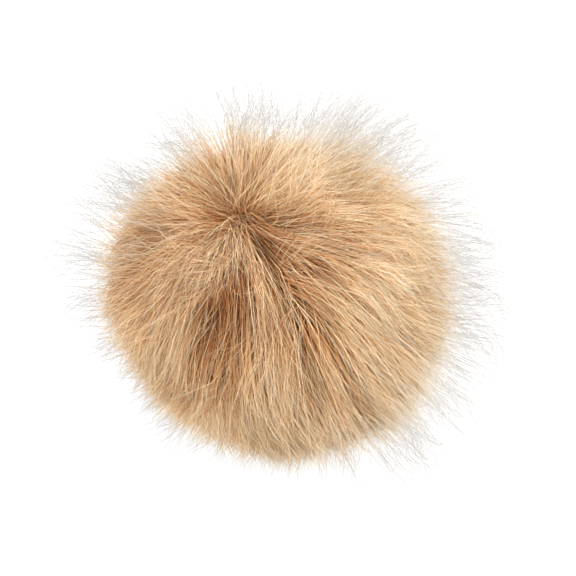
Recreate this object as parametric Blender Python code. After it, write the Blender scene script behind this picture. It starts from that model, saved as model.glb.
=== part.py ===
"""Faux-fur pom pom: tapered fur locks fused to one rounded backing, resting on a small flat spot.

Lengths are in millimetres and angles in radians until the mesh is written in metres. +Z is up, and the
floor is z = 0. Each lock is a narrow copy of one facet of the backing, carried outwards along a flow that
runs away from the crown. The flow never folds over itself, so the locks curve together and stay apart.
"""
import math

import bmesh
import bpy
import numpy as np

MM = 0.001
SEED = 5

# The backing: a ball around a centre, cut level where it meets the floor
CENTRE_Z = 38.0
BACKING_RADIUS = 36.0
BACKING_TOP = 33.0
FLAT_RADIUS = 16.0
FLAT_SIDES = 12
FLAT_ANGLE = math.atan2(FLAT_RADIUS, CENTRE_Z)

# The facets that the locks grow from: their corners, and how far those are nudged and spread
CORNERS = 155
CORNER_NUDGE = 0.055
CORNER_SPACING = 0.42
SPREAD_STEPS = 12
SPREAD_SHARE = 0.05
RING_CLEARANCE = 0.08

# The fur's outline around the centre, drawn in above the floor
REACH_SIDE = 65.0
REACH_TOP = 59.0
FLOOR_GAP = 1.2
FLOOR_GAP_SPREAD = 0.5
FLOOR_BLEND = 6.0

# Sections of a lock from root to tip: share of the lock's length, and of its facet's width
LOCK_SECTIONS = (
    (0.00, 0.86),
    (0.20, 0.78),
    (0.45, 0.64),
    (0.68, 0.44),
    (0.86, 0.25),
    (1.00, 0.09),
)
SHORTEST_LOCK = 0.74

# The flow: away from the crown over the upper part, outwards along the floor, and a slow wander
CROWN = (-0.14, -0.34, 0.93)
CROWN_BEND = 0.48
CROWN_BEND_GROWTH = 1.25
CROWN_FADE = (1.5, 2.7)
FLOOR_BEND = 0.36
FLOOR_FADE = 1.7
WANDER = 0.11

FUR_COLOUR = (0.56, 0.35, 0.20, 1.0)
FUR_ROUGHNESS = 0.85


def unit(vectors):
    """Vectors scaled to length one."""
    return vectors / np.linalg.norm(vectors, axis=-1, keepdims=True)


def smooth(low, high, value):
    """Smooth step from 0 at low to 1 at high."""
    t = np.clip((value - low) / (high - low), 0.0, 1.0)
    return t * t * (3.0 - 2.0 * t)


def angle_from_below(direction):
    """Angle between a direction and straight down."""
    return np.arccos(np.clip(-direction[..., 2], -1.0, 1.0))


def ellipsoid_distance(direction, radius, half_height):
    """Distance from the centre to an upright ellipsoid, along a direction."""
    across = direction[..., 0] ** 2 + direction[..., 1] ** 2
    return 1.0 / np.sqrt(across / radius ** 2 + direction[..., 2] ** 2 / half_height ** 2)


def floor_distance(direction, gap):
    """Distance from the centre to a level just above the floor, or far away for an upward direction."""
    return (CENTRE_Z - gap) / np.maximum(-direction[..., 2], 0.05)


def backing_distance(direction):
    """Distance from the centre to the backing."""
    bottom = CENTRE_Z / math.sqrt(1.0 - (FLAT_RADIUS / BACKING_RADIUS) ** 2)
    half_height = np.where(direction[..., 2] > 0.0, BACKING_TOP, bottom)
    ball = ellipsoid_distance(direction, BACKING_RADIUS, half_height)
    return np.minimum(ball, floor_distance(direction, 0.0))


def fur_distance(direction):
    """Distance from the centre to the longest tips."""
    ball = ellipsoid_distance(direction, REACH_SIDE, REACH_TOP)
    under = angle_from_below(direction)
    gap = FLOOR_GAP * smooth(FLAT_ANGLE, FLAT_ANGLE + FLOOR_GAP_SPREAD, under)
    floor = floor_distance(direction, gap)
    near = np.maximum(FLOOR_BLEND - np.abs(ball - floor), 0.0)
    return np.minimum(ball, floor) - near ** 2 / (4.0 * FLOOR_BLEND)


def flat_corners():
    """Directions of the corners of the flat spot, and of its middle."""
    angles = np.arange(FLAT_SIDES) * math.tau / FLAT_SIDES
    ring = np.stack([
        math.sin(FLAT_ANGLE) * np.cos(angles),
        math.sin(FLAT_ANGLE) * np.sin(angles),
        np.full(FLAT_SIDES, -math.cos(FLAT_ANGLE)),
    ], axis=1)
    return np.vstack([ring, [[0.0, 0.0, -1.0]]])


def free_corners(fixed, rng):
    """Directions spread over the rest of the ball: a spiral that is nudged and then evened out."""
    count = CORNERS - len(fixed)
    step = np.arange(count) + 0.5
    lowest = RING_CLEARANCE - math.cos(FLAT_ANGLE)
    height = 1.0 - (1.0 - lowest) * step / count
    turn = math.pi * (1.0 + math.sqrt(5.0)) * step
    radius = np.sqrt(1.0 - height ** 2)
    free = np.stack([radius * np.cos(turn), radius * np.sin(turn), height], axis=1)
    free = unit(free + rng.normal(0.0, CORNER_NUDGE, free.shape))

    for _ in range(SPREAD_STEPS):
        others = np.vstack([free, fixed])
        apart = free[:, None, :] - others[None, :, :]
        distance = np.linalg.norm(apart, axis=2)
        np.fill_diagonal(distance[:, :count], CORNER_SPACING)
        push = np.maximum(1.0 - distance / CORNER_SPACING, 0.0) ** 2
        free = unit(free + SPREAD_SHARE * (apart / distance[..., None] * push[..., None]).sum(axis=1))
    return free


def facets(corners):
    """Triangles between neighbouring corners, facing outwards."""
    work = bmesh.new()
    for corner in corners:
        work.verts.new(corner)
    work.verts.ensure_lookup_table()
    bmesh.ops.convex_hull(work, input=work.verts)
    work.verts.index_update()
    triangles = []
    for face in work.faces:
        a, b, c = (vert.index for vert in face.verts)
        normal = np.cross(corners[b] - corners[a], corners[c] - corners[a])
        outwards = np.dot(normal, corners[a]) > 0.0
        triangles.append((a, b, c) if outwards else (a, c, b))
    work.free()
    return triangles


def turned(direction, pole, angle):
    """Directions moved away from a pole by an angle."""
    pole = unit(np.array(pole))
    along = direction @ pole
    side = direction - along[..., None] * pole
    size = np.linalg.norm(side, axis=-1)
    side = side / np.maximum(size, 1e-9)[..., None]
    polar = np.arctan2(size, along) + angle
    return np.cos(polar)[..., None] * pole + np.sin(polar)[..., None] * side


def wander(direction):
    """A slowly changing push over the ball."""
    x, y, z = direction[..., 0], direction[..., 1], direction[..., 2]
    return np.stack([
        np.sin(3.1 * y + 1.3) * np.cos(2.3 * z),
        np.sin(2.9 * z + 0.4) * np.cos(2.7 * x + 0.8),
        0.6 * np.sin(2.6 * x - 0.5) * np.cos(3.3 * y),
    ], axis=-1)


def flow(direction, share):
    """Direction that a root direction has reached at a share of the full height of the fur."""
    polar = np.arccos(np.clip(direction @ unit(np.array(CROWN)), -1.0, 1.0))
    bend = CROWN_BEND * np.sin(np.minimum(polar, math.pi / 2)) * (1.0 - smooth(*CROWN_FADE, polar))
    moved = turned(direction, CROWN, bend * share ** CROWN_BEND_GROWTH)
    lift = FLOOR_BEND * (1.0 - smooth(FLAT_ANGLE, FLOOR_FADE, angle_from_below(moved)))
    moved = turned(moved, (0.0, 0.0, -1.0), lift * share)
    return unit(moved + WANDER * share * wander(moved))


def place(direction, distance):
    """Points at a distance from the centre along a direction."""
    return direction * distance[:, None] + np.array([0.0, 0.0, CENTRE_Z])


def lock_rings(facet, length):
    """Rings of three points for one lock, from its root on the backing to its tip."""
    middle = unit(facet.mean(axis=0))
    rings = []
    for share, width in LOCK_SECTIONS:
        height = share * length
        direction = flow(unit(middle + width * (facet - middle)), height)
        low = backing_distance(direction)
        high = fur_distance(direction)
        rings.append(place(direction, low + height * (high - low)))
    return rings


def build_fur():
    """Points and triangles of the whole pom pom."""
    rng = np.random.default_rng(SEED)
    fixed = flat_corners()
    corners = np.vstack([free_corners(fixed, rng), fixed])
    first_flat = CORNERS - len(fixed)
    points = place(corners, backing_distance(corners))
    points[first_flat:, 2] = 0.0
    points = [tuple(point) for point in points]
    triangles = []

    for facet in facets(corners):
        if min(facet) >= first_flat:
            triangles.append(facet)
            continue
        below = facet
        for ring in lock_rings(corners[list(facet)], rng.uniform(SHORTEST_LOCK, 1.0)):
            above = tuple(range(len(points), len(points) + 3))
            points.extend(tuple(point) for point in ring)
            for side in range(3):
                after = (side + 1) % 3
                triangles.append((below[side], below[after], above[after]))
                triangles.append((below[side], above[after], above[side]))
            below = above
        triangles.append(below)
    return points, triangles


def fur_material(name):
    """Matt golden tan."""
    material = bpy.data.materials.new(name)
    material.use_nodes = True
    shader = material.node_tree.nodes["Principled BSDF"]
    shader.inputs["Base Color"].default_value = FUR_COLOUR
    shader.inputs["Roughness"].default_value = FUR_ROUGHNESS
    return material


def add_object(name, points, triangles):
    """One mesh object, in metres."""
    mesh = bpy.data.meshes.new(name)
    mesh.from_pydata([(x * MM, y * MM, z * MM) for x, y, z in points], [], triangles)
    mesh.update()
    mesh.materials.append(fur_material(name))
    item = bpy.data.objects.new(name, mesh)
    bpy.context.scene.collection.objects.link(item)


def main():
    for old in list(bpy.data.objects):
        bpy.data.objects.remove(old)
    add_object("fur_ball", *build_fur())


main()
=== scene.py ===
"""A golden tan faux-fur pom pom: a soft inner body under joined meshes of fine tapered strands.

Lengths are in millimetres around the ball's centre until a mesh is written in metres, and a place on the
ball is a direction from its centre. A strand leaves the backing upright, rises towards the surface of the
fur and leans away from the crown as it goes. Locks, tufts and locklets are patches of roots, large to
small, that pull their strands together.

A pair of numbers named _FADE says where a change begins and where it is complete: as distances from the
parting on a ball of radius one, as cosines of the angle from a side of the ball, or, for the lean, as
radians from its pole.
"""

import math

import bmesh
import bpy
import numpy as np
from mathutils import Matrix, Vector


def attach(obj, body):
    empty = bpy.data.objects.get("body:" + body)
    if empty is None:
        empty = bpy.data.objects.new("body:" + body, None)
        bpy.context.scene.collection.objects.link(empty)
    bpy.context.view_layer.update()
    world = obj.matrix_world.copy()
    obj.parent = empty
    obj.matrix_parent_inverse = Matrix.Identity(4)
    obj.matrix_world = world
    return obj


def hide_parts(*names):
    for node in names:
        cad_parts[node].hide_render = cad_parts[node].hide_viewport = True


MM = 0.001
SEED = 21
TINY = 1e-12
GOLDEN_TURN = math.pi * (1.0 + math.sqrt(5.0))

# The ball: its centre, and the half sizes of its backing, soft inner body, surface and longest hair
CENTRE = np.array([0.0, 0.0, 38.0])
ROOT_SIDE = 31.0
ROOT_TOP = 27.0
BODY_SIDE = 38.0
BODY_TOP = 33.0
SURFACE_SIDE = 49.0
SURFACE_TOP = 42.5
LONGEST_SIDE = 76.0
LONGEST_TOP = 68.0

# Where the fur meets the floor: the gap, how softly it turns, the lowest that a strand may come, and how
# steeply a direction has to fall to meet it
FLOOR_GAP = 0.4
FLOOR_BLEND = 3.0
FLOOR_LIMIT = 0.25
LEAST_FALL = 0.05

# The inner body: its ripples in millimetres and its share of the fur's hollows
BODY_SUBDIVISIONS = 5
BODY_SWELL = 0.8
BODY_RIPPLE = 0.5
BODY_LUMPS = 0.4

# The body and the roots stay under these shares of the surface, covered by at least so much fur
BODY_UNDER = 0.95
ROOTS_UNDER = 0.9
COVER = 1.0
LEAST_LENGTH = 1.0

# The crown that the fur radiates from, the parting that runs from it, and how far each strand's own
# crown is shifted at random
CROWN_PLACE = (-0.32, -0.108, 0.942)
PARTING_PLACE = (-0.29, -0.19, 0.938)
CROWN_SHIFT = 0.05

# Hollows (below zero) and ridges: degrees from the crown, degrees round it from the front towards +X,
# half width in degrees along and across the flow, and height in millimetres
LUMPS = (
    ("parting", 30.5, 23.5, 6.5, 6.0, -7.8),
    ("band_dip", 31.0, 50.0, 10.0, 4.5, -5.5),
    ("behind_dip", 7.0, -163.0, 8.0, 5.0, -1.2),
    ("behind_left_dip", 15.0, -94.0, 7.0, 6.0, -2.5),
    ("front_dip", 50.0, 1.0, 4.0, 6.0, -8.5),
    ("front_dip_middle", 54.0, -9.0, 5.5, 8.0, -13.0),
    ("front_dip_low", 60.0, -20.0, 9.0, 7.5, -10.5),
    ("short_dip", 72.0, 16.0, 10.0, 2.6, -2.6),
    ("side_dip", 50.0, 38.0, 9.0, 4.0, -4.0),
    ("upper_side_dip", 53.0, 62.0, 7.0, 5.0, -3.5),
    ("upper_right_dip", 46.0, 85.0, 7.0, 7.0, -4.0),
    ("right_dip", 87.0, 67.0, 9.0, 3.5, -4.0),
    ("left_dip", 32.0, -76.0, 9.0, 8.0, -7.5),
    ("left_low_dip", 44.0, -75.0, 8.0, 6.0, -4.0),
    ("front_ridge", 41.0, 8.0, 9.0, 5.0, 4.5),
    ("front_left_ridge", 33.0, -8.0, 7.0, 6.0, 2.0),
    ("front_ridge_low", 65.0, -5.0, 12.0, 3.0, 3.5),
    ("bottom_ridge", 90.0, 0.0, 8.0, 4.0, 2.5),
    ("middle_ridge", 55.0, 21.0, 7.0, 3.0, 2.0),
    ("side_ridge", 48.0, 46.0, 9.0, 3.0, 3.0),
    ("right_ridge", 69.0, 57.0, 10.0, 3.5, 3.0),
    ("right_ridge_low", 84.0, 61.0, 10.0, 3.0, 3.5),
    ("left_ridge", 46.0, -43.0, 9.0, 5.0, 2.0),
    ("left_ridge_low", 61.0, -50.0, 12.0, 6.0, 2.5),
    ("left_bulge", 52.0, -101.0, 12.0, 13.0, 2.5),
    ("back_left_bulge", 34.0, -167.0, 9.0, 14.0, 3.0),
    ("back_right_bulge", 60.0, 123.0, 9.0, 9.0, 3.0),
    ("low_right_bulge", 123.0, 43.0, 14.0, 24.0, 3.5),
    ("low_front_bulge", 118.0, -3.0, 10.0, 20.0, 3.0),
    ("top_right_bump", 65.5, 129.3, 8.0, 6.0, 1.8),
    ("top_dip", 49.4, 155.2, 9.0, 10.0, -3.2),
    ("top_left_bump", 42.0, -174.1, 8.0, 6.0, 1.4),
    ("low_left_fall", 91.0, -63.0, 16.0, 17.0, -5.0),
)

# The lean: where it fades out below, its growth along a strand, where a layer's bend at the crown gives
# way to the full bend, and the outward lift along the floor as a share of the lean
LEAN_FADE = (1.5, 2.7)
LEAN_GROWTH = 1.2
CROWN_FADE = (0.0, 0.3)
FLOOR_LIFT = 0.6
FLOOR_FADE = (0.4, 1.7)

# The depth of a hollow that counts in full, the share of its lean that a strand loses there, and the
# depths between which strands that cross a hollow are thinned out
DEEP = 7.0
HOLLOW_STAND = (0.2, 0.75)
HOLLOW_EDGE = (-1.5, -7.0)

# How far the flow wanders, for slow to fast waves, and how that grows away from the parting and along a
# strand
WANDER_SIZE = 0.07
WISP_SIZE = 0.032
FINE_WISP_SIZE = 0.006
WANDER_FADE = (0.0, 0.5)
WISP_GROWTH = 1.2

# The side where the fur is swept across the plain flow, and which way
SWEPT_SIDE = (-0.60, -0.78, 0.10)
SWEPT_FADE = (0.35, 0.85)
SWEEP = np.array([-0.17, 0.07, 0.09])

# The patches of roots: how many, how far each bends its strands aside, how that grows away from the
# parting, how much the lean differs by tuft, the width of a patch's edge as a share of the spacing, and
# how far inside a patch, from 0 to 1, its strands are at plain height
LOCK_COUNT = 110
TUFT_COUNT = 480
LOCKLET_COUNT = 4200
LOCK_KINK = 0.08
TUFT_KINK = 0.10
TUFT_KINK_SHARE = 0.5
LOCKLET_KINK = 0.035
LEAST_KINK = 0.1
KINK_FADE = (0.1, 0.55)
TUFT_LEAN = 0.12
PATCH_EDGE = 0.8
PLAIN_INSIDE = 0.4

# How strands gather in patches: how that grows away from the parting and along a strand, and the share
# of a locklet's pull that a strand feels
GATHER_FADE = (0.05, 0.32)
TUFT_GROWTH = 1.4
LOCKLET_GROWTH = 1.2
LOCKLET_SHARE = (0.3, 1.0)

# How strands stray: looseness beside the parting, and each strand's own bend, drawn from Student's t,
# with its degrees of freedom, its limit and its growth along the strand
LOOSE = 0.06
LOOSE_FADE = (0.05, 0.45)
OWN_FREEDOM = 4.0
OWN_LIMIT = 2.8
OWN_GROWTH = 1.5

# Sections are a little closer together towards the tip
SECTION_GROWTH = 0.85

# Wavelengths of the random fields, as parts of the ball's radius, and how far the waves of one field
# differ in rate
WANDER_WAVE = 1.7
WISP_WAVE = 0.42
FINE_WISP_WAVE = 0.17
HALO_SWELL_WAVE = 0.5
SWELL_WAVE = 0.55
WAVE_RANGE = (0.6, 1.4)

# Strand heights in millimetres: the spread between patches, and the rise from a patch's edge to its middle
LOCK_HEIGHT = 0.5
LOCK_CROWNING = 1.0
TUFT_HEIGHT = 0.55
TUFT_CROWNING = 1.3

# The calm side, where the fur is combed more evenly, and how much less it differs there
CALM_SIDE = (-0.78, -0.45, -0.25)
CALM_SIDE_FADE = (0.0, 0.75)
CALM_SIDE_SHARE = 0.55

# Roots: how far they are nudged from an even spread, the share that is spread beside the parting, where
# the fur would thin out, and how close to it guard hair has no roots
ROOT_NUDGE = 0.4
CROWN_SHARE = 0.08
CROWN_SPREAD = 0.20
CROWN_CLEAR = 0.1

# The side of the ball, up and back to the right, where the guard hair is longer and the fur gets painted
# light
LONG_HAIR_AND_PAINTED_LIGHT_SIDE = (0.50, 0.54, 0.69)

# The guard hair: the share of its length opposite to that side, the range of single lengths, and how
# much whole stretches differ
HALO_LEAST = 0.5
HALO_FADE = (-0.8, -0.3)
HALO_LENGTHS = (0.35, 1.0)
HALO_SWELL_SHARE = 0.35
HALO_SWELL_LIMITS = (-1.0, 1.5)

# Where the guard hair is longer, or shorter below zero: direction, spread in degrees, and share added
HALO_PEAKS = (
    ("left_peak", (-0.235, 0.61, 0.755), 11.0, 0.8),
    ("right_peak", (0.46, 0.50, 0.73), 10.0, 0.6),
    ("right_side", (0.92, 0.25, 0.34), 22.0, 0.42),
    ("left_side", (-0.93, 0.15, 0.20), 25.0, 0.18),
    ("upper_left", (-0.71, 0.435, 0.557), 14.0, -0.35),
    ("low_right", (0.87, -0.31, -0.39), 16.0, 0.30),
    ("front", (0.0, -0.79, 0.62), 65.0, -0.9),
)

# Two long wisps of guard hair: direction of the tips, spread and count, and their lean in radians
HALO_HORNS = (
    ((-0.235, 0.61, 0.755), 0.20, 150),
    ((0.46, 0.50, 0.73), 0.24, 140),
)
HORN_LEAN = -0.2

# The halo's colour goes from root to tip by height: the share at the fur's surface, the millimetres from
# 0 to 1, and how far the colour may run ahead of the strand. It changes less on the front, towards the
# camera, and on the back than on the ring between them, which makes the outline: the grey there is painted
# light, pale hair seen against the bright surround.
FRONT_FACE = (0.0, -0.79, 0.62)
FACING_FADE = (0.25, 0.65)
FACING_LESS = 0.75
PALE_START = 0.42
PALE_HEIGHT = 16.0
PALE_LEAD = 0.45

# What makes a strand paler or browner: painted shade in the fur's hollows and painted light on its ridges,
# painted shade at the edges of locks and tufts and painted light in their middles, tone that differs at
# random by tuft and locklet, and painted light on the lit side
# Painted shade where a strand ends in a hollow, painted light where it ends on a ridge
PAINTED_HOLLOW_SHADE = 0.34
PAINTED_HOLLOW_SHADE_LIMITS = (-1.2, 0.5)
# Painted shade at the edges of locks and tufts, and painted light in their middles
LOCK_PAINTED_SHADE = 0.06
TUFT_PAINTED_SHADE = 0.08
TUFT_OWN_TONE = 0.045
LOCKLET_OWN_TONE = 0.03
# Painted light: strands paler towards the lit side
PAINTED_LIGHT_SIDE_TONE = 0.10

# Where the fur is paler, or browner below zero: painted light and painted shade for how the lamps fall on
# the top, the sides and the middle of the front, and a browner tone at the crown. Each gives a direction,
# cosines where the change begins and is complete, and how much
PAINTED_LIGHT_AND_TONES = (
    ("painted_shade_front", (-0.12, -0.70, 0.70), 0.75, 1.0, -0.13),
    ("painted_light_top", (0.05, 0.25, 0.97), 0.84, 0.97, 0.17),
    ("painted_light_right", (0.87, -0.42, 0.15), 0.75, 0.97, 0.28),
    ("painted_shade_right", (0.55, -0.40, 0.73), 0.78, 1.0, -0.19),
    ("painted_light_low_left", (-0.50, -0.72, -0.48), 0.60, 0.95, 0.17),
    ("painted_shade_left", (-0.88, -0.25, 0.40), 0.70, 0.98, -0.15),
    ("browner_crown", (-0.31, -0.15, 0.94), 0.94, 0.99, -0.10),
)

# Near the parting, strands show more of their tips' colour and are finer: their width there as a share,
# and what is added to it away from the parting
PARTING_PALE = 0.34
PARTING_PALE_FADE = (0.05, 0.55)
PARTING_WIDTH = 0.7
OPEN_WIDTH = 0.3
OPEN_WIDTH_FADE = (0.1, 0.5)

# A strand's thickness at shares of its length, as shares of its full width, and the least full width as a
# share of its layer's mean
SECTIONS = (0.0, 0.15, 0.55, 0.85, 1.0)
FUR_WIDTHS = (0.7, 0.95, 1.0, 0.62, 0.12)
HALO_WIDTHS = (0.9, 1.0, 1.0, 0.85, 0.4)
LEAST_WIDTH = 0.5

# The UV map runs from root to tip along U and has a band along V for each class of shade: the number of
# bands, the margin along U, and the places of a strand's sides in a band
CLASSES = 128
UV_MARGIN = 0.01
BAND_START = 0.15
BAND_STEP = 0.35

# The layers of strands, from the inside out. Each says:
#   strands, steps: how many strands, and how many stretches each has
#   width, widths: millimetres at the thickest, as mean and spread, and the taper
#   lean, lean_spread, crown_bend: radians, spread as a share, and share of the bend at the crown
#   root, reach, rise: start and end as shares of the backing and the surface, and how early strands rise
#   extra, ragged: millimetres beyond the surface at full length, and the spread of all heights
#   own_bend, stray, stray_share: each strand's own bend, how much more strays bend, and how many stray
#   tuft_pull, locklet_pull: how far strands are drawn to the middles of their patches
#   hollow_gap, crown_gap: share left out across hollows, and where roots are at full number again
#   shade, shade_spread, pale_by_height: 0 brown to 1 cream, its spread, and whether height gives colour
ANY_LAYER = {
    "lean_spread": 0.18,
    "crown_bend": 1.0,
    "extra": 0.0,
    "stray": 2.0,
    "hollow_gap": 0.0,
    "crown_gap": None,
    "widths": FUR_WIDTHS,
    "pale_by_height": False,
}
LAYERS = {
    "fur_inner": {
        **ANY_LAYER, "strands": 7000, "steps": 2, "width": (0.32, 0.05), "lean": 0.52, "crown_bend": 0.3,
        "root": 1.10, "reach": (0.86, 0.97), "rise": 1.3, "ragged": 0.7, "own_bend": 0.030,
        "stray_share": 0.05, "tuft_pull": 0.45, "locklet_pull": 0.2,
        "shade": 0.26, "shade_spread": 0.08,
    },
    "fur_middle": {
        **ANY_LAYER, "strands": 11000, "steps": 2, "width": (0.24, 0.035), "lean": 0.60, "crown_bend": 0.6,
        "root": 1.15, "reach": (0.89, 1.00), "rise": 1.25, "ragged": 0.7, "own_bend": 0.030,
        "stray_share": 0.06, "tuft_pull": 0.5, "locklet_pull": 0.2, "hollow_gap": 0.45,
        "shade": 0.34, "shade_spread": 0.14,
    },
    "fur_outer_a": {
        **ANY_LAYER, "strands": 12000, "steps": 3, "width": (0.175, 0.045), "lean": 0.62,
        "root": 1.15, "reach": (0.92, 1.02), "rise": 1.15, "ragged": 0.8, "own_bend": 0.038,
        "stray_share": 0.08, "tuft_pull": 0.6, "locklet_pull": 0.3, "hollow_gap": 0.8,
        "shade": 0.50, "shade_spread": 0.40,
    },
    "fur_outer_b": {
        **ANY_LAYER, "strands": 12000, "steps": 3, "width": (0.175, 0.050), "lean": 0.64,
        "root": 1.18, "reach": (0.94, 1.04), "rise": 1.15, "ragged": 1.1, "own_bend": 0.052,
        "stray_share": 0.10, "tuft_pull": 0.6, "locklet_pull": 0.3, "hollow_gap": 0.85,
        "shade": 0.59, "shade_spread": 0.62, "lean_spread": 0.20,
    },
    "fur_fine": {
        **ANY_LAYER, "strands": 19500, "steps": 2, "width": (0.175, 0.055), "lean": 0.66,
        "root": 1.18, "reach": (0.94, 1.07), "rise": 1.1, "ragged": 1.5, "own_bend": 0.060,
        "stray_share": 0.15, "tuft_pull": 0.5, "locklet_pull": 0.25, "hollow_gap": 0.8,
        "shade": 0.70, "shade_spread": 0.68, "lean_spread": 0.24,
    },
    "fur_guard": {
        **ANY_LAYER, "strands": 2500, "steps": 3, "width": (0.12, 0.015), "lean": 0.55,
        "root": 1.2, "reach": (1.00, 1.06), "rise": 1.1, "ragged": 1.5, "own_bend": 0.045,
        "stray_share": 0.2, "tuft_pull": 0.6, "locklet_pull": 0.3, "hollow_gap": 0.9,
        "shade": 0.66, "shade_spread": 0.20, "lean_spread": 0.28, "extra": 7.0, "crown_gap": 0.12,
    },
    "fur_halo": {
        **ANY_LAYER, "strands": 7400, "steps": 3, "width": (0.15, 0.025), "lean": 0.20,
        "root": 1.2, "reach": (1.00, 1.04), "rise": 1.0, "ragged": 1.5, "own_bend": 0.040,
        "stray_share": 0.15, "tuft_pull": 0.85, "locklet_pull": 0.3, "hollow_gap": 0.9,
        "shade": 0.50, "shade_spread": 0.25, "lean_spread": 0.5, "extra": 31.0, "crown_gap": 0.45,
        "widths": HALO_WIDTHS, "pale_by_height": True,
    },
}

# Colours from root to tip, for the brownest, the middle and the palest strands
FUR_COLOURS = {
    "brown": ((0.0, (0.37, 0.088, 0.018)), (0.5, (0.43, 0.150, 0.045)), (1.0, (0.51, 0.250, 0.105))),
    "gold": ((0.0, (0.57, 0.20, 0.052)), (0.5, (0.72, 0.40, 0.165)), (0.8, (0.83, 0.565, 0.30)),
             (1.0, (0.88, 0.715, 0.48))),
    "cream": ((0.0, (0.67, 0.32, 0.125)), (0.5, (0.895, 0.625, 0.345)), (0.8, (0.945, 0.80, 0.555)),
              (1.0, (0.96, 0.905, 0.76))),
}
GUARD_COLOURS = {
    "brown": ((0.0, (0.56, 0.21, 0.065)), (0.6, (0.80, 0.54, 0.30)), (1.0, (0.78, 0.64, 0.48))),
    "gold": ((0.0, (0.56, 0.21, 0.065)), (0.6, (0.88, 0.66, 0.40)), (1.0, (0.86, 0.75, 0.60))),
    "cream": ((0.0, (0.68, 0.32, 0.12)), (0.6, (0.93, 0.76, 0.51)), (1.0, (0.93, 0.83, 0.67))),
}
HALO_COLOURS = {
    "brown": ((0.0, (0.50, 0.20, 0.070)), (0.45, (0.78, 0.52, 0.28)), (0.62, (0.67, 0.60, 0.53)),
              (0.8, (0.54, 0.53, 0.52))),
    "gold": ((0.0, (0.56, 0.21, 0.065)), (0.45, (0.86, 0.62, 0.37)), (0.62, (0.75, 0.69, 0.61)),
             (0.8, (0.63, 0.62, 0.61))),
    "cream": ((0.0, (0.68, 0.32, 0.12)), (0.45, (0.92, 0.73, 0.48)), (0.62, (0.83, 0.78, 0.71)),
              (0.8, (0.72, 0.71, 0.70))),
}
HALO_ALPHA = 0.65
MIDDLE_SHADE = 0.5

# The sockets that a Mix node has for colours: factor, A and B, and the result
MIX_INPUTS = (0, 6, 7)
MIX_OUTPUT = 2

# Gloss of the strands
ROOT_ROUGHNESS = 0.7
TIP_ROUGHNESS = 0.42
FUR_SPECULAR = 0.22
FUR_SPECULAR_TINT = (1.0, 0.80, 0.58, 1.0)

# Matted underfur on the inner body: its reddish brown is the fur's own, and its darkness is painted shade
# deep in the fur
UNDERFUR_PAINTED_SHADE_COLOURS = ((0.3, (0.17, 0.05, 0.012)), (0.7, (0.27, 0.085, 0.022)))
UNDERFUR_ROUGHNESS = 0.9
MATTING_SCALE = 900.0
MATTING_DETAIL = 4.0

# The studio, in metres: a floor that glows white, a white surround, and square lights with their place,
# size, watts and colour
WHITE = (1.0, 1.0, 1.0, 1.0)
FLOOR_HALF = 4.0
FLOOR_COLOUR = (0.15, 0.15, 0.15, 1.0)
FLOOR_ROUGHNESS = 0.9
FLOOR_GLOW = 0.95
LIGHT_TARGET = (0.0, 0.0, 0.04)
LIGHTS = (
    ("key", (0.70, -0.20, 0.44), 0.22, 6.1, (1.0, 0.98, 0.94)),
    ("back", (-0.32, 0.45, 0.54), 0.4, 4.2, (1.0, 0.98, 0.95)),
    ("fill", (-0.46, -0.62, 0.08), 0.5, 4.3, (1.0, 0.98, 0.95)),
)

# The camera, in metres: it looks along +Y from above, at a point right of and above the ball's centre
CAMERA_ELEVATION = 38.0
CAMERA_DISTANCE = 0.394
CAMERA_RIGHT = 0.0036
CAMERA_UP = 0.0010
CAMERA_LENS = 85.0
CAMERA_SENSOR = 36.0
CAMERA_NEAR = 0.01
CAMERA_FAR = 50.0


def unit(vectors):
    """Vectors scaled to length one."""
    vectors = np.asarray(vectors)
    return vectors / np.maximum(np.linalg.norm(vectors, axis=-1, keepdims=True), TINY)


def smooth(low, high, value):
    """Smooth step from 0 at low to 1 at high."""
    t = np.clip((value - low) / (high - low), 0.0, 1.0)
    return t * t * (3.0 - 2.0 * t)


# The front, straight down, and the crown with its parting and two directions across it
FRONT = np.array([0.0, -1.0, 0.0])
DOWN = np.array([0.0, 0.0, -1.0])
CROWN = unit(CROWN_PLACE)
PARTING_END = unit(PARTING_PLACE)
CROWN_FRONT = unit(FRONT - CROWN * (FRONT @ CROWN))
CROWN_SIDE = np.cross(CROWN, CROWN_FRONT)


def ellipsoid(direction, side, top):
    """Distance from the centre to an upright ellipsoid."""
    across = direction[..., 0] ** 2 + direction[..., 1] ** 2
    return 1.0 / np.sqrt(across / side ** 2 + direction[..., 2] ** 2 / top ** 2)


def crown_direction(polar, round_crown):
    """Direction at an angle from the crown and an angle round it, in degrees."""
    polar, round_crown = math.radians(polar), math.radians(round_crown)
    side = math.cos(round_crown) * CROWN_FRONT + math.sin(round_crown) * CROWN_SIDE
    return math.cos(polar) * CROWN + math.sin(polar) * side


def lump_height(direction):
    """Millimetres that the fur's surface stands above or below its plain form."""
    total = np.zeros(direction.shape[:-1])
    for _, polar, round_crown, along, across, height in LUMPS:
        middle = crown_direction(polar, round_crown)
        ahead = unit(middle * (CROWN @ middle) - CROWN)
        sideways = np.cross(middle, ahead)
        a = (direction @ ahead) / math.radians(along)
        b = (direction @ sideways) / math.radians(across)
        facing = direction @ middle > 0.0
        total += np.where(facing, height * np.exp(-(a * a + b * b)), 0.0)
    return total


def surface_distance(direction, scale, swell):
    """Distance from the centre to the fur's surface, drawn in above the floor."""
    ball = ellipsoid(direction, SURFACE_SIDE, SURFACE_TOP) * scale + swell
    floor = (CENTRE[2] - FLOOR_GAP) / np.maximum(-direction[..., 2], LEAST_FALL)
    near = np.maximum(FLOOR_BLEND - np.abs(ball - floor), 0.0)
    return np.minimum(ball, floor) - near ** 2 / (4.0 * FLOOR_BLEND)


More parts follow.
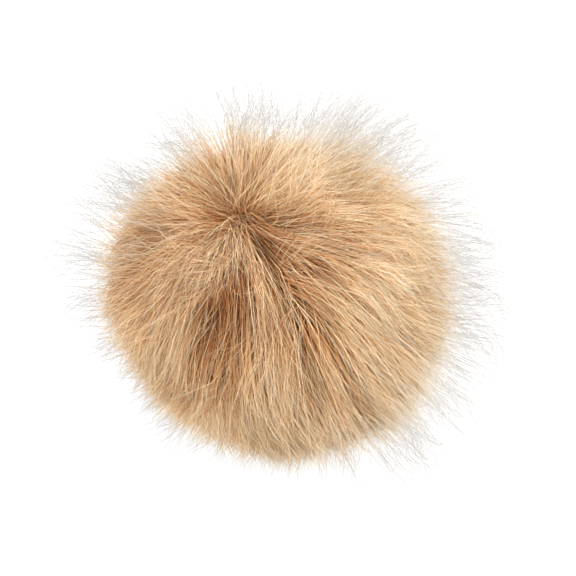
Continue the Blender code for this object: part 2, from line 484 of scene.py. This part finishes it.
def halo_share(direction):
    """Share of the guard hair's full length: less opposite to its long side, and changed at the peaks."""
    share = HALO_LEAST + (1.0 - HALO_LEAST) * smooth(*HALO_FADE, direction @ unit(LONG_HAIR_AND_PAINTED_LIGHT_SIDE))
    for _, middle, spread, more in HALO_PEAKS:
        near = direction @ unit(middle)
        share = share + more * np.exp((near - 1.0) / (1.0 - math.cos(math.radians(spread))))
    return share


def turned(direction, pole, angle):
    """Directions moved away from a pole by an angle."""
    along = (direction * pole).sum(axis=-1)
    side = unit(direction - along[..., None] * pole)
    polar = np.arccos(np.clip(along, -1.0, 1.0)) + angle
    return np.cos(polar)[..., None] * pole + np.sin(polar)[..., None] * side


def parting_pole(direction):
    """The nearest point of the parting, which runs from the crown, for each direction."""
    span = PARTING_END - CROWN
    t = np.clip(((direction - CROWN) @ span) / (span @ span), 0.0, 1.0)
    return unit(CROWN + t[..., None] * span)


def parting_distance(direction):
    """How far each direction is from the parting."""
    return np.linalg.norm(direction - parting_pole(direction), axis=-1)


def lean(direction, amount, crown_bend=1.0, shift=0.0):
    """Directions after the fur's lean: away from the parting above, outwards along the floor below.

    crown_bend is the share of the lean right at the parting, and shift moves the pole.
    """
    pole = unit(parting_pole(direction) + shift)
    polar = np.arccos(np.clip((direction * pole).sum(axis=-1), -1.0, 1.0))
    bend = 1.0 - smooth(*LEAN_FADE, polar)
    bend = bend * (crown_bend + (1.0 - crown_bend) * smooth(*CROWN_FADE, polar))
    moved = turned(direction, pole, bend * amount)
    under = np.arccos(np.clip(-moved[..., 2], -1.0, 1.0))
    lift = FLOOR_LIFT * (1.0 - smooth(*FLOOR_FADE, under)) * amount
    return turned(moved, DOWN, lift)


def even_spacing(count):
    """Angle between neighbours when a number of directions covers the ball."""
    return math.sqrt(4.0 * math.pi / count)


def spread_directions(rng, count):
    """Random directions spread evenly over the ball."""
    step = np.arange(count) + 0.5
    height = 1.0 - 2.0 * step / count
    turn = GOLDEN_TURN * step
    radius = np.sqrt(1.0 - height ** 2)
    even = np.stack([radius * np.cos(turn), radius * np.sin(turn), height], axis=1)
    even = unit(even + rng.normal(0.0, ROOT_NUDGE * even_spacing(count), even.shape))
    return rng.permutation(even)


class Waves:
    """A smooth random vector field: a sum of count sine waves with about one wavelength."""

    def __init__(self, rng, wavelength, count, width=3):
        spread = 2.0 * math.pi / wavelength
        self.k = unit(rng.normal(size=(count, 3))) * spread * rng.uniform(*WAVE_RANGE, (count, 1))
        self.phase = rng.uniform(0.0, 2.0 * math.pi, count)
        self.push = rng.normal(size=(count, width)) * math.sqrt(2.0 / count)

    def __call__(self, points):
        """The field's vector at each point."""
        return np.sin(points @ self.k.T + self.phase) @ self.push


class Patches:
    """Patches that cover the ball, each with a kink of its own and one random number for each trait."""

    AT_ONCE = 4000

    def __init__(self, rng, count, kink, *traits):
        self.middles = spread_directions(rng, count)
        self.kink = rng.normal(0.0, kink, self.middles.shape)
        self.traits = {trait: rng.normal(0.0, 1.0, count) for trait in traits}

    def find(self, directions):
        """The patch of each direction, and how far inside it the direction is, from 0 to 1."""
        found = np.empty(len(directions), int)
        inside = np.empty(len(directions))
        edge = PATCH_EDGE * even_spacing(len(self.middles))
        for start in range(0, len(directions), self.AT_ONCE):
            stop = min(start + self.AT_ONCE, len(directions))
            near = directions[start:stop] @ self.middles.T
            rows = np.arange(stop - start)
            first = np.argmax(near, axis=1)
            best = np.arccos(np.clip(near[rows, first], -1.0, 1.0))
            near[rows, first] = -1.0
            second = np.arccos(np.clip(near.max(axis=1), -1.0, 1.0))
            found[start:stop] = first
            inside[start:stop] = np.clip((second - best) / edge, 0.0, 1.0)
        return found, inside


# The random fields and patches, made in this order from one generator
FIELDS = np.random.default_rng(SEED)
WANDER = Waves(FIELDS, WANDER_WAVE, count=20)
WISPS = Waves(FIELDS, WISP_WAVE, count=32)
FINE_WISPS = Waves(FIELDS, FINE_WISP_WAVE, count=40)
HALO_SWELL = Waves(FIELDS, HALO_SWELL_WAVE, count=24, width=1)
SWELL = Waves(FIELDS, SWELL_WAVE, count=24, width=1)
LOCKS = Patches(FIELDS, LOCK_COUNT, LOCK_KINK, "height")
TUFTS = Patches(FIELDS, TUFT_COUNT, TUFT_KINK, "height", "lean", "tone")
LOCKLETS = Patches(FIELDS, LOCKLET_COUNT, LOCKLET_KINK, "tone")


def root_directions(rng, layer):
    """Roots for a layer: even over the ball, with more beside the parting, and the long wisps' own."""
    extra = int(layer["strands"] * CROWN_SHARE)
    t = rng.random(extra)[:, None]
    middle = unit(CROWN + t * (PARTING_END - CROWN))
    near = unit(middle + rng.normal(0.0, CROWN_SPREAD, (extra, 3)))
    roots = np.vstack([spread_directions(rng, layer["strands"] - extra), near])
    if layer["crown_gap"] is not None:
        share = smooth(CROWN_CLEAR, layer["crown_gap"], parting_distance(roots))
        roots = roots[rng.random(len(roots)) < share]
    if layer["pale_by_height"]:
        roots = np.vstack([roots, *(horn_roots(rng, *horn) for horn in HALO_HORNS)])
    return roots


def horn_roots(rng, tip, spread, count):
    """Roots of the strands of one long wisp, set back from its tips by their lean."""
    tip = unit([tip])
    middle = turned(tip, parting_pole(tip), HORN_LEAN)
    return unit(middle + rng.normal(0.0, spread / 2.0, (count, 3)))


class Strands:
    """The strands of one layer: one row for each strand, and a column for each section along it.

    length is a section's share of the way from root to tip, and along is the same with a third axis. apart
    is a root's distance from the parting, and uneven is 1, or less on the calm side. Most steps of __init__
    draw random numbers, so their order is part of the result.
    """

    def __init__(self, rng, layer):
        self.rng = rng
        self.layer = layer
        self.roots = root_directions(rng, layer)
        self.count = len(self.roots)
        self.length = (np.linspace(0.0, 1.0, layer["steps"] + 1) ** SECTION_GROWTH)[None, :]
        self.along = self.length[..., None]
        strays = rng.random((self.count, 1)) < layer["stray_share"]
        self.stray = np.where(strays, layer["stray"], 1.0)
        self.uneven = 1.0 - CALM_SIDE_SHARE * smooth(*CALM_SIDE_FADE, self.roots @ unit(CALM_SIDE))
        self.apart = parting_distance(self.roots)
        self.lock, self.lock_inside = LOCKS.find(self.roots)
        self.tuft, self.tuft_inside = TUFTS.find(self.roots)
        self.locklet, _ = LOCKLETS.find(self.roots)

        self.bend = self.lean_amount() * self.length ** LEAN_GROWTH
        self.direction = self.gathered()
        self.lump = lump_height(self.direction)
        reach = rng.uniform(*layer["reach"], (self.count, 1))
        self.kept = self.clear_of_hollows()
        self.distance = self.risen(reach)

    def lean_amount(self):
        """How far each strand leans: less where its tip would lie in a hollow."""
        amount = self.rng.normal(1.0, self.layer["lean_spread"], (self.count, 1))
        amount = self.layer["lean"] * amount * (1.0 + TUFT_LEAN * TUFTS.traits["lean"][self.tuft, None])
        tip = lean(self.roots, amount[:, 0])
        dip = np.clip(-lump_height(tip) / DEEP, 0.0, 1.0)
        return amount * (1.0 - dip * self.rng.uniform(*HOLLOW_STAND, self.count))[:, None]

    def carried(self, start, shift=0.0):
        """Directions along each strand when it leans and wanders from its start with the flow."""
        start = np.repeat(start[:, None, :], self.length.shape[1], axis=1)
        direction = lean(start, self.bend, self.layer["crown_bend"], shift)
        wander = WANDER_SIZE * smooth(*WANDER_FADE, parting_distance(direction))
        swept = smooth(*SWEPT_FADE, direction @ unit(SWEPT_SIDE))
        push = wander[..., None] * WANDER(direction) + swept[..., None] * SWEEP
        return direction + self.along * push

    def gathered(self):
        """Directions along each strand, drawn together in tufts and locklets, and each bent on its own."""
        rng, layer, along = self.rng, self.layer, self.along
        one_each = (self.count, 1, 3)
        kink = LEAST_KINK + (1.0 - LEAST_KINK) * smooth(*KINK_FADE, self.apart)
        kink = kink[:, None, None]
        tuft_kink = TUFT_KINK_SHARE * TUFTS.kink[self.tuft]
        push = (LOCKS.kink[self.lock] + tuft_kink)[:, None] * along * kink
        direction = self.carried(self.roots, rng.normal(0.0, CROWN_SHIFT, one_each)) + push

        free = smooth(*GATHER_FADE, self.apart)[:, None, None]
        centre = self.carried(TUFTS.middles[self.tuft]) + push + tuft_kink[:, None] * along * kink
        pull = layer["tuft_pull"] * free * self.uneven[:, None, None] * along ** TUFT_GROWTH
        direction = direction + pull * (centre - direction)

        middle = self.carried(LOCKLETS.middles[self.locklet]) + push
        middle = middle + pull * (centre - middle) + LOCKLETS.kink[self.locklet][:, None] * along
        share = rng.uniform(*LOCKLET_SHARE, (self.count, 1, 1))
        pull = layer["locklet_pull"] * free * share * along ** LOCKLET_GROWTH
        direction = direction + pull * (middle - direction)

        drift = WISP_SIZE * WISPS(self.roots) + FINE_WISP_SIZE * FINE_WISPS(self.roots)
        direction = direction + along ** WISP_GROWTH * drift[:, None]
        loose = LOOSE * (1.0 - smooth(*LOOSE_FADE, self.apart))
        direction = direction + along * loose[:, None, None] * rng.normal(size=one_each)
        own = np.clip(rng.standard_t(OWN_FREEDOM, one_each), -OWN_LIMIT, OWN_LIMIT)
        own = own * layer["own_bend"] * self.stray[..., None]
        return unit(direction + own * along ** OWN_GROWTH)

    def clear_of_hollows(self):
        """Which strands are kept: fewer of those that cross a hollow, at a section or between two."""
        between = lump_height(unit(self.direction[:, 1:] + self.direction[:, :-1]))
        deepest = np.minimum(self.lump.min(axis=1), between.min(axis=1))
        return self.rng.random(self.count) >= self.layer["hollow_gap"] * smooth(*HOLLOW_EDGE, deepest)

    def risen(self, reach):
        """Distance from the centre along each strand, from the backing to the top of the fur."""
        rng, layer, direction = self.rng, self.layer, self.direction
        extra = layer["extra"] * halo_share(direction) * rng.uniform(*HALO_LENGTHS, (self.count, 1))
        swell = np.clip(HALO_SWELL(direction)[..., 0], *HALO_SWELL_LIMITS)
        extra = extra * (1.0 + HALO_SWELL_SHARE * swell)

        height = LOCK_HEIGHT * LOCKS.traits["height"][self.lock]
        height = height + LOCK_CROWNING * (self.lock_inside - PLAIN_INSIDE)
        height = height + TUFT_HEIGHT * TUFTS.traits["height"][self.tuft]
        height = height + TUFT_CROWNING * (self.tuft_inside - PLAIN_INSIDE)
        own = (height * self.uneven + rng.normal(0.0, layer["ragged"], self.count))[:, None]

        high = surface_distance(direction, reach, SWELL(direction)[..., 0] + self.lump + extra + own)
        high = np.minimum(high, ellipsoid(direction, LONGEST_SIDE, LONGEST_TOP))
        low = ellipsoid(direction, ROOT_SIDE, ROOT_TOP) * layer["root"]
        low = np.minimum(low, surface_distance(direction, ROOTS_UNDER, 0.0) - COVER)
        rise = 1.0 - (1.0 - self.length) ** layer["rise"]
        return low + rise * np.maximum(high - low, LEAST_LENGTH)

    def points(self):
        """Points along each strand, none of them in the floor."""
        points = self.direction * self.distance[..., None]
        points[..., 2] = np.maximum(points[..., 2] + CENTRE[2], FLOOR_LIMIT) - CENTRE[2]
        return points

    def colour_share(self):
        """The share of the way from the root's colour to the tip's, along each strand."""
        if self.layer["pale_by_height"]:
            above = self.distance - surface_distance(self.direction, 1.0, self.lump)
            # Painted light: the grey of hair seen against the bright surround is held back on the front and
            # back, so it shows on the outline ring
            facing = smooth(*FACING_FADE, np.abs(self.direction @ unit(FRONT_FACE)))
            paler = 1.0 - FACING_LESS * facing
            share = np.clip(PALE_START + above * paler / PALE_HEIGHT, 0.0, 1.0)
            limit = np.linspace(0.0, 1.0, self.layer["steps"] + 1) + PALE_LEAD
            return np.minimum(share, limit[None, :])
        share = np.repeat(self.length, self.count, axis=0)
        parting = 1.0 - smooth(*PARTING_PALE_FADE, self.apart)
        return share + PARTING_PALE * parting[:, None] * (1.0 - share)

    def tone(self, ends):
        """How much paler each strand is than its layer, or browner below zero, by where it ends: painted
        shade and painted light by the fur's height, its patches and its sides, with tone that differs at
        random.
        """
        # Painted shade where the strand ends in a hollow, painted light where it ends on a ridge
        tone = PAINTED_HOLLOW_SHADE * np.clip(self.lump[:, -2:].mean(axis=1) / DEEP, *PAINTED_HOLLOW_SHADE_LIMITS)
        # Painted shade at the edges of locks and tufts and painted light in their middles, then a random
        # tone by tuft
        patch = LOCK_PAINTED_SHADE * (self.lock_inside - PLAIN_INSIDE)
        patch = patch + TUFT_PAINTED_SHADE * (self.tuft_inside - PLAIN_INSIDE)
        patch = patch + TUFT_OWN_TONE * TUFTS.traits["tone"][self.tuft]
        tone = tone + self.uneven * patch
        tone = tone + LOCKLET_OWN_TONE * LOCKLETS.traits["tone"][self.locklet]
        # Painted light: strands paler towards the lit side, up and back to the right
        tone = tone + PAINTED_LIGHT_SIDE_TONE * (ends @ unit(LONG_HAIR_AND_PAINTED_LIGHT_SIDE)) / SURFACE_SIDE
        facing = unit(ends)
        # Painted light and painted shade by side and on the front, and a browner tone at the crown
        for _, middle, begins, full, more in PAINTED_LIGHT_AND_TONES:
            tone = tone + more * smooth(begins, full, facing @ unit(middle))
        return tone


def strand_faces(rings):
    """Faces of one strand, by the numbers of its points: three to a ring, and one at the tip."""
    faces = []
    last = 3 * (rings - 2)
    for low in range(0, last, 3):
        for corner in range(3):
            after = (corner + 1) % 3
            faces.append((low + corner, low + after, low + 3 + after, low + 3 + corner))
    faces.append((2, 1, 0))
    for corner in range(3):
        faces.append((last + corner, last + (corner + 1) % 3, last + 3))
    return faces


def tube_points(points, radius, rng):
    """Three points round each section of each strand, and one at its tip."""
    ahead = unit(np.gradient(points, axis=1))
    side = unit(np.cross(ahead, unit(points)))
    upward = np.cross(side, ahead)
    spin = rng.uniform(0.0, 2.0 * math.pi, (len(points), 1))
    tube = []
    for corner in range(3):
        angle = spin + corner * 2.0 * math.pi / 3.0
        offset = np.cos(angle)[..., None] * side + np.sin(angle)[..., None] * upward
        tube.append(points + radius[..., None] * offset)
    body = np.stack(tube, axis=2)[:, :-1]
    return np.concatenate([body.reshape(len(points), -1, 3), points[:, -1:]], axis=1)


def add_object(name, data):
    """A new object in the scene."""
    item = bpy.data.objects.new(name, data)
    bpy.context.scene.collection.objects.link(item)
    return item


def strand_mesh(name, tubes, share, classes):
    """One mesh of closed tapered tubes, with the attributes and the UV map that colour them."""
    count, per_strand, _ = tubes.shape
    faces = strand_faces(share.shape[1])
    corners = np.array([point for face in faces for point in face])
    loops = (np.arange(count)[:, None] * per_strand + corners[None, :]).ravel()
    sizes = np.tile([len(face) for face in faces], count)
    starts = np.concatenate([[0], np.cumsum(sizes)[:-1]])

    mesh = bpy.data.meshes.new(name)
    mesh.vertices.add(count * per_strand)
    mesh.vertices.foreach_set("co", ((tubes + CENTRE) * MM).astype(np.float32).ravel())
    mesh.loops.add(len(loops))
    mesh.loops.foreach_set("vertex_index", loops.astype(np.int32))
    mesh.polygons.add(len(sizes))
    mesh.polygons.foreach_set("loop_start", starts.astype(np.int32))
    mesh.polygons.foreach_set("loop_total", sizes.astype(np.int32))
    mesh.polygons.foreach_set("use_smooth", np.ones(len(sizes), bool))
    mesh.update(calc_edges=True)

    share = np.concatenate([np.repeat(share[:, :-1], 3, axis=1), share[:, -1:]], axis=1)
    sides = np.where(corners == per_strand - 1, 1, corners % 3)
    u = UV_MARGIN + (1.0 - 2.0 * UV_MARGIN) * share[:, corners]
    v = (classes[:, None] + BAND_START + BAND_STEP * sides[None, :]) / CLASSES
    uv = mesh.uv_layers.new(name="OFBake")
    uv.data.foreach_set("uv", np.stack([u, v], axis=-1).astype(np.float32).ravel())
    along = mesh.attributes.new("along", "FLOAT", "POINT")
    along.data.foreach_set("value", share.astype(np.float32).ravel())
    shade = mesh.attributes.new("shade", "FLOAT", "POINT")
    shade.data.foreach_set("value", np.repeat((classes + 0.5) / CLASSES, per_strand).astype(np.float32))
    return mesh


def strand_layer(name, layer, material, rng):
    """One joined piece with all the strands of a layer."""
    strands = Strands(rng, layer)
    kept = strands.kept
    points = strands.points()
    # The tone carries painted shade and painted light from hollows, patches and sides, as well as the fur's
    # own tone
    tone = layer["shade"] + strands.tone(points[:, -1])[kept]
    points = points[kept]
    tone = tone + rng.normal(0.0, layer["shade_spread"], len(points)) * strands.uneven[kept]
    classes = np.clip(np.floor(tone * CLASSES), 0, CLASSES - 1)

    mean, spread = layer["width"]
    width = np.maximum(rng.normal(mean, spread, len(points)), mean * LEAST_WIDTH)
    fine = PARTING_WIDTH + OPEN_WIDTH * smooth(*OPEN_WIDTH_FADE, strands.apart[kept])
    taper = np.interp(strands.length, SECTIONS, layer["widths"])
    tubes = tube_points(points, (width * fine)[:, None] * 0.5 * taper, rng)

    mesh = strand_mesh(name, tubes, strands.colour_share()[kept], classes)
    mesh.materials.append(material)
    return add_object(name, mesh)


def inner_body():
    """The closed soft body that the strands stand in."""
    work = bmesh.new()
    bmesh.ops.create_icosphere(work, subdivisions=BODY_SUBDIVISIONS, radius=1.0)
    directions = unit([vert.co[:] for vert in work.verts])
    distance = ellipsoid(directions, BODY_SIDE, BODY_TOP)
    distance = distance + BODY_SWELL * SWELL(directions)[:, 0]
    distance = distance + BODY_RIPPLE * FINE_WISPS(directions)[:, 0]
    distance = distance + BODY_LUMPS * lump_height(directions)
    distance = np.minimum(distance, surface_distance(directions, BODY_UNDER, 0.0) - COVER)
    for vert, direction, far in zip(work.verts, directions, distance):
        vert.co = Vector((CENTRE + direction * far) * MM)
    mesh = bpy.data.meshes.new("fur_body")
    work.to_mesh(mesh)
    work.free()
    mesh.polygons.foreach_set("use_smooth", np.ones(len(mesh.polygons), bool))
    mesh.materials.append(body_material())
    return add_object("fur_body", mesh)


def new_material(name):
    """A material with its nodes, links and shader."""
    material = bpy.data.materials.new(name)
    material.use_nodes = True
    nodes, links = material.node_tree.nodes, material.node_tree.links
    return material, nodes, links, nodes["Principled BSDF"]


def attribute(nodes, name):
    """The value of a mesh attribute."""
    node = nodes.new("ShaderNodeAttribute")
    node.attribute_name = name
    return node.outputs["Fac"]


def mix_colours(nodes, links, factor, a, b):
    """A blend of two colours."""
    node = nodes.new("ShaderNodeMix")
    node.data_type = "RGBA"
    for number, source in zip(MIX_INPUTS, (factor, a, b)):
        links.new(source, node.inputs[number])
    return node.outputs[MIX_OUTPUT]


def ramp(nodes, links, source, stops):
    """A colour ramp over a value."""
    node = nodes.new("ShaderNodeValToRGB")
    links.new(source, node.inputs["Fac"])
    elements = node.color_ramp.elements
    while len(elements) > 1:
        elements.remove(elements[-1])
    elements[0].position = stops[0][0]
    elements[0].color = (*stops[0][1], 1.0)
    for position, colour in stops[1:]:
        elements.new(position).color = (*colour, 1.0)
    return node.outputs["Color"]


def map_range(nodes, links, source, start, end, low=0.0, high=1.0):
    """low where the source is start or less, high where it is end or more, and a straight line between."""
    node = nodes.new("ShaderNodeMapRange")
    links.new(source, node.inputs["Value"])
    node.inputs["From Min"].default_value = start
    node.inputs["From Max"].default_value = end
    node.inputs["To Min"].default_value = low
    node.inputs["To Max"].default_value = high
    return node.outputs["Result"]


def strand_material(name, colours, alpha=1.0):
    """Fur that changes from root to tip, along three ramps that each strand's shade blends."""
    material, nodes, links, shader = new_material(name)
    along = attribute(nodes, "along")
    shade = attribute(nodes, "shade")
    brown, gold, cream = (ramp(nodes, links, along, colours[key]) for key in ("brown", "gold", "cream"))
    darker = map_range(nodes, links, shade, 0.0, MIDDLE_SHADE)
    lighter = map_range(nodes, links, shade, MIDDLE_SHADE, 1.0)
    colour = mix_colours(nodes, links, darker, brown, gold)
    colour = mix_colours(nodes, links, lighter, colour, cream)
    links.new(colour, shader.inputs["Base Color"])
    rough = map_range(nodes, links, along, 0.0, 1.0, ROOT_ROUGHNESS, TIP_ROUGHNESS)
    links.new(rough, shader.inputs["Roughness"])
    shader.inputs["Specular IOR Level"].default_value = FUR_SPECULAR
    shader.inputs["Specular Tint"].default_value = FUR_SPECULAR_TINT
    shader.inputs["Alpha"].default_value = alpha
    return material


def body_material():
    """Matted underfur, reddish brown, with its darkness painted shade deep in the fur."""
    material, nodes, links, shader = new_material("underfur")
    noise = nodes.new("ShaderNodeTexNoise")
    noise.inputs["Scale"].default_value = MATTING_SCALE
    noise.inputs["Detail"].default_value = MATTING_DETAIL
    place = nodes.new("ShaderNodeTexCoord")
    links.new(place.outputs["Object"], noise.inputs["Vector"])
    # The underfur's darkness is painted shade of the deep fur
    colour = ramp(nodes, links, noise.outputs["Fac"], UNDERFUR_PAINTED_SHADE_COLOURS)
    links.new(colour, shader.inputs["Base Color"])
    shader.inputs["Roughness"].default_value = UNDERFUR_ROUGHNESS
    return material


def add_floor():
    """Plain white floor."""
    mesh = bpy.data.meshes.new("floor")
    signs = ((-1, -1), (1, -1), (1, 1), (-1, 1))
    mesh.from_pydata([(x * FLOOR_HALF, y * FLOOR_HALF, 0) for x, y in signs], [], [(0, 1, 2, 3)])
    floor = add_object("floor", mesh)
    material, _, _, shader = new_material("floor")
    shader.inputs["Base Color"].default_value = FLOOR_COLOUR
    shader.inputs["Roughness"].default_value = FLOOR_ROUGHNESS
    shader.inputs["Specular IOR Level"].default_value = 0.0
    shader.inputs["Emission Color"].default_value = WHITE
    shader.inputs["Emission Strength"].default_value = FLOOR_GLOW
    mesh.materials.append(material)


def add_light(name, place, size, power, colour):
    """A square area light that looks at the ball."""
    data = bpy.data.lights.new(name, "AREA")
    data.size = size
    data.energy = power
    data.color = colour
    light = add_object(name, data)
    light.location = place
    ahead = Vector(LIGHT_TARGET) - Vector(place)
    light.rotation_euler = ahead.to_track_quat("-Z", "Y").to_euler()


def add_world():
    """Plain white surround."""
    world = bpy.data.worlds.new("studio")
    world.use_nodes = True
    background = world.node_tree.nodes["Background"]
    background.inputs["Color"].default_value = WHITE
    background.inputs["Strength"].default_value = 1.0
    bpy.context.scene.world = world


def add_camera():
    """Looks along +Y from above, with the ball a little left of and below the middle of the frame."""
    elevation = math.radians(CAMERA_ELEVATION)
    right = Vector((1.0, 0.0, 0.0))
    ahead = Vector((0.0, math.cos(elevation), -math.sin(elevation)))
    up = right.cross(ahead)
    target = Vector(CENTRE * MM) + right * CAMERA_RIGHT + up * CAMERA_UP
    data = bpy.data.cameras.new("camera")
    data.lens = CAMERA_LENS
    data.sensor_width = CAMERA_SENSOR
    data.clip_start = CAMERA_NEAR
    data.clip_end = CAMERA_FAR
    camera = add_object("camera", data)
    camera.location = target - ahead * CAMERA_DISTANCE
    camera.rotation_euler = ahead.to_track_quat("-Z", "Y").to_euler()
    bpy.context.scene.camera = camera


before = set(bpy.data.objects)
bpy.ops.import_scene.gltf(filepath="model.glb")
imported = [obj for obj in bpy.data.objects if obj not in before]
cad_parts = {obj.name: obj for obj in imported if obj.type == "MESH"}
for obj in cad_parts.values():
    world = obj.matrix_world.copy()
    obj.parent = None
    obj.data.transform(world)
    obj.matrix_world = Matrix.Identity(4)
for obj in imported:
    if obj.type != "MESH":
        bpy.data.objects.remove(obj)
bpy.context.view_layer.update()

body = inner_body()
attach(body, "root")
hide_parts("fur_ball")

fur = strand_material("fur", FUR_COLOURS)
guard = strand_material("guard_hair", GUARD_COLOURS)
halo = strand_material("halo_hair", HALO_COLOURS, HALO_ALPHA)
MATERIALS = {"fur_guard": guard, "fur_halo": halo}
for number, (name, layer) in enumerate(LAYERS.items(), 1):
    piece = strand_layer(name, layer, MATERIALS.get(name, fur), np.random.default_rng(SEED + number))
    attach(piece, "root")

add_floor()
add_world()
for light in LIGHTS:
    add_light(*light)
add_camera()
bpy.context.scene.view_settings.view_transform = "Standard"
